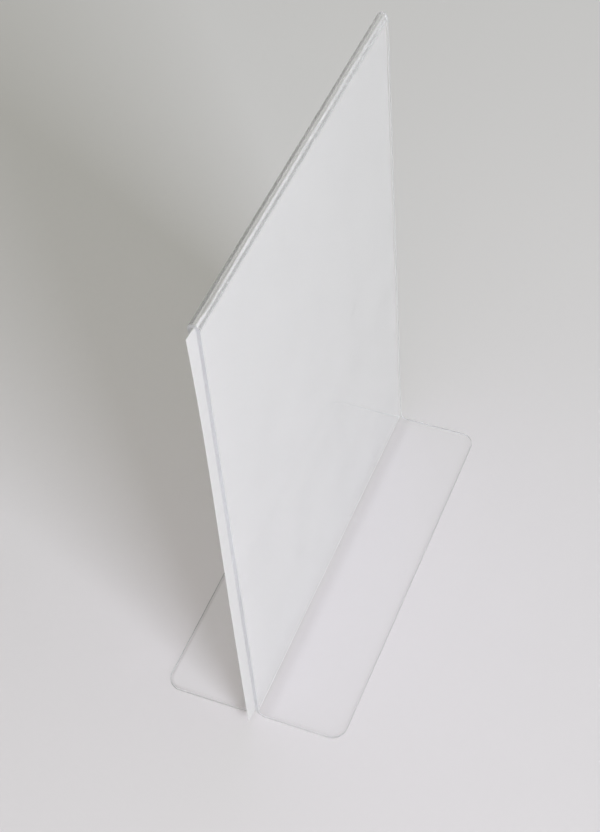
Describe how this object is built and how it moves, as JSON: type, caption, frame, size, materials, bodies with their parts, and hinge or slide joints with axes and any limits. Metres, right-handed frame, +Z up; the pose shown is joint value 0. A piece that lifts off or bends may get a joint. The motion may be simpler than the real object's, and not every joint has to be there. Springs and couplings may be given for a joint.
{
  "type": "tabletop sign holder",
  "caption": "Clear acrylic tabletop sign holder, bent from sheet into an open-sided upright pocket with flat feet front and back, holding a plain white card that slides out sideways.",
  "frame": {"origin": "on the table, in the middle plane of the pocket, midway between the card's near edge and the stand's far end", "axes": "+X along the stand's width to its far end, +Y from the front foot to the back foot, +Z up"},
  "size_m": [0.22, 0.0985, 0.286],
  "materials": {
    "clear_acrylic": "polished",
    "white_card": "matte"
  },
  "bodies": {
    "stand": {"acrylic_stand": "clear_acrylic"},
    "card": {"white_card": "white_card"}
  },
  "joints": [
    {"name": "card_slide", "type": "slide", "parent": "stand", "child": "card", "axis": [1, 0, 0], "range_m": [-0.189, 0.195]}
  ]
}
